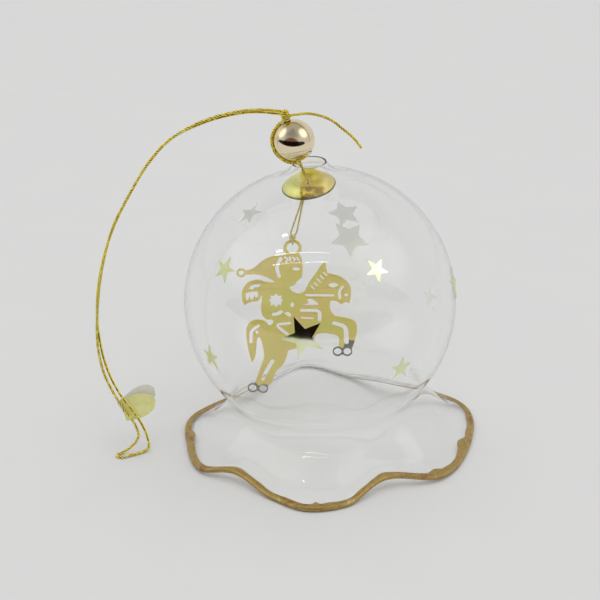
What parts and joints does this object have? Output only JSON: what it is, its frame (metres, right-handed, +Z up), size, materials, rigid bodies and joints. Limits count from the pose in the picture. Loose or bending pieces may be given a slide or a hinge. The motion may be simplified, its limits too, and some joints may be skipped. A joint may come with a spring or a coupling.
{
  "type": "glass bell ornament",
  "caption": "Clear blown-glass bell ornament with a gilt ruffled skirt, gold stars, a bead on a metallic cord and a flat brass rider clapper.",
  "frame": {"origin": "on the table, under the middle of the skirt's outline", "axes": "+Z up from the table, -Y towards the pictured front, +X to the right in the picture"},
  "size_m": [0.0912, 0.0748, 0.0847],
  "materials": {
    "clear_glass": "clear, glossy",
    "gilding": "uneven gilding over the glass lip",
    "star_foil": "pale gold foil, bright",
    "cap_gold": "bright spun sheet",
    "champagne": "mirror bright",
    "metallic_cord": "gold metallic braid",
    "tag_foil": "satin foil",
    "clapper_thread": "metallic thread",
    "clapper_brass": "satin sheet"
  },
  "bodies": {
    "glass": {"glass_bell": "clear_glass", "gilt_rim": "gilding", "star_front_big": "star_foil", "star_upper_left": "star_foil", "star_upper_right": "star_foil", "star_lower_left": "star_foil", "star_lower_right": "star_foil", "star_right_edge": "star_foil", "star_back_low": "star_foil", "star_back_high": "star_foil", "star_back_left": "star_foil", "star_back_right": "star_foil"},
    "cap": {"gold_cap": "cap_gold"},
    "cord": {"core_cord": "metallic_cord", "bead_wrap": "metallic_cord", "top_knot": "metallic_cord", "stop_knot": "metallic_cord", "hanging_loop": "metallic_cord", "cord_tail": "metallic_cord", "foil_tag": "tag_foil"},
    "bead": {"bead": "champagne"},
    "thread": {"clapper_thread": "clapper_thread"},
    "tie": {"tie_knot": "clapper_thread"},
    "clapper": {"clapper_plate": "clapper_brass"}
  },
  "joints": [
    {"name": "cap_lift", "type": "slide", "parent": "glass", "child": "cap", "axis": [-0.0732, 0, 0.9973], "range_m": [0, 0.0005]},
    {"name": "cord_swivel", "type": "hinge", "parent": "cap", "child": "cord", "pos_m": [-0.00541, 0.00085, 0.06553], "axis": [-0.0732, 0, 0.9973], "continuous": true},
    {"name": "bead_spin", "type": "hinge", "parent": "cord", "child": "bead", "pos_m": [-0.00894, 0.00085, 0.07655], "axis": [-0.2924, 0, 0.9563], "continuous": true},
    {"name": "thread_swing", "type": "hinge", "parent": "cord", "child": "thread", "pos_m": [-0.00661, 0.00085, 0.06263], "axis": [0, 1, 0], "range_deg": [-24, 2.8]},
    {"name": "thread_twist", "type": "hinge", "parent": "thread", "child": "tie", "pos_m": [-0.00941, 0.00085, 0.05388], "axis": [0, 0, 1], "continuous": true},
    {"name": "clapper_rock", "type": "hinge", "parent": "tie", "child": "clapper", "pos_m": [-0.00941, 0.00085, 0.05165], "axis": [1, 0, 0], "range_deg": [-12, 12]}
  ]
}
